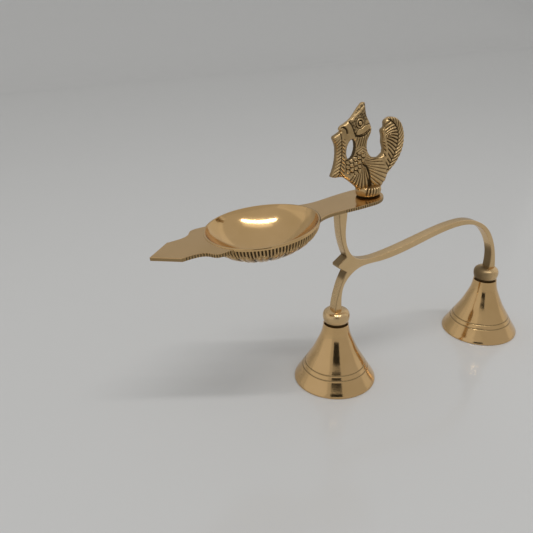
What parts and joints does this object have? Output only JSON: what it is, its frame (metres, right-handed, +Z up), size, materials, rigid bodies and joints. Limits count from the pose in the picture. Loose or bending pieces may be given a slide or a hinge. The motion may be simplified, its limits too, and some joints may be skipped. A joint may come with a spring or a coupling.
{
  "type": "aarti lamp",
  "caption": "Brass hand lamp for aarti: an oval oil bowl with a pointed lip and a peacock on its shank, on a bent handle stand with bell-shaped feet that hang clappers.",
  "frame": {"origin": "centre of the bounding box at the level of the bell rims it stands on", "axes": "+X along the length, from the pointed lip of the dish to the rear bell; +Z up; the figure's flat sides face -Y and +Y"},
  "size_m": [0.2222, 0.0492, 0.1454],
  "materials": {
    "polished_brass": "polished, mirror-like",
    "antique_brass": "cast relief, dark in the hollows, bright on the high edges",
    "plain_brass": "turned, unpolished"
  },
  "bodies": {
    "lamp": {"dish": "polished_brass", "stand": "polished_brass", "peacock": "antique_brass", "peacock_screw": "plain_brass", "front_bell": "polished_brass", "rear_bell": "polished_brass", "front_eye_screw": "plain_brass", "rear_eye_screw": "plain_brass"},
    "front_link": {"front_link": "plain_brass"},
    "rear_link": {"rear_link": "plain_brass"},
    "front_clapper": {"front_clapper": "plain_brass"},
    "rear_clapper": {"rear_clapper": "plain_brass"}
  },
  "joints": [
    {"name": "front_link_swing", "type": "hinge", "parent": "lamp", "child": "front_link", "pos_m": [-0.01609, 0, 0.0249], "axis": [1, 0, 0], "range_deg": [-25, 25]},
    {"name": "front_clapper_swing", "type": "hinge", "parent": "front_link", "child": "front_clapper", "pos_m": [-0.01609, 0, 0.0213], "axis": [0, 1, 0], "range_deg": [-30, 30]},
    {"name": "rear_link_swing", "type": "hinge", "parent": "lamp", "child": "rear_link", "pos_m": [0.08941, 0, 0.0249], "axis": [1, 0, 0], "range_deg": [-25, 25]},
    {"name": "rear_clapper_swing", "type": "hinge", "parent": "rear_link", "child": "rear_clapper", "pos_m": [0.08941, 0, 0.0213], "axis": [0, 1, 0], "range_deg": [-30, 30]}
  ]
}
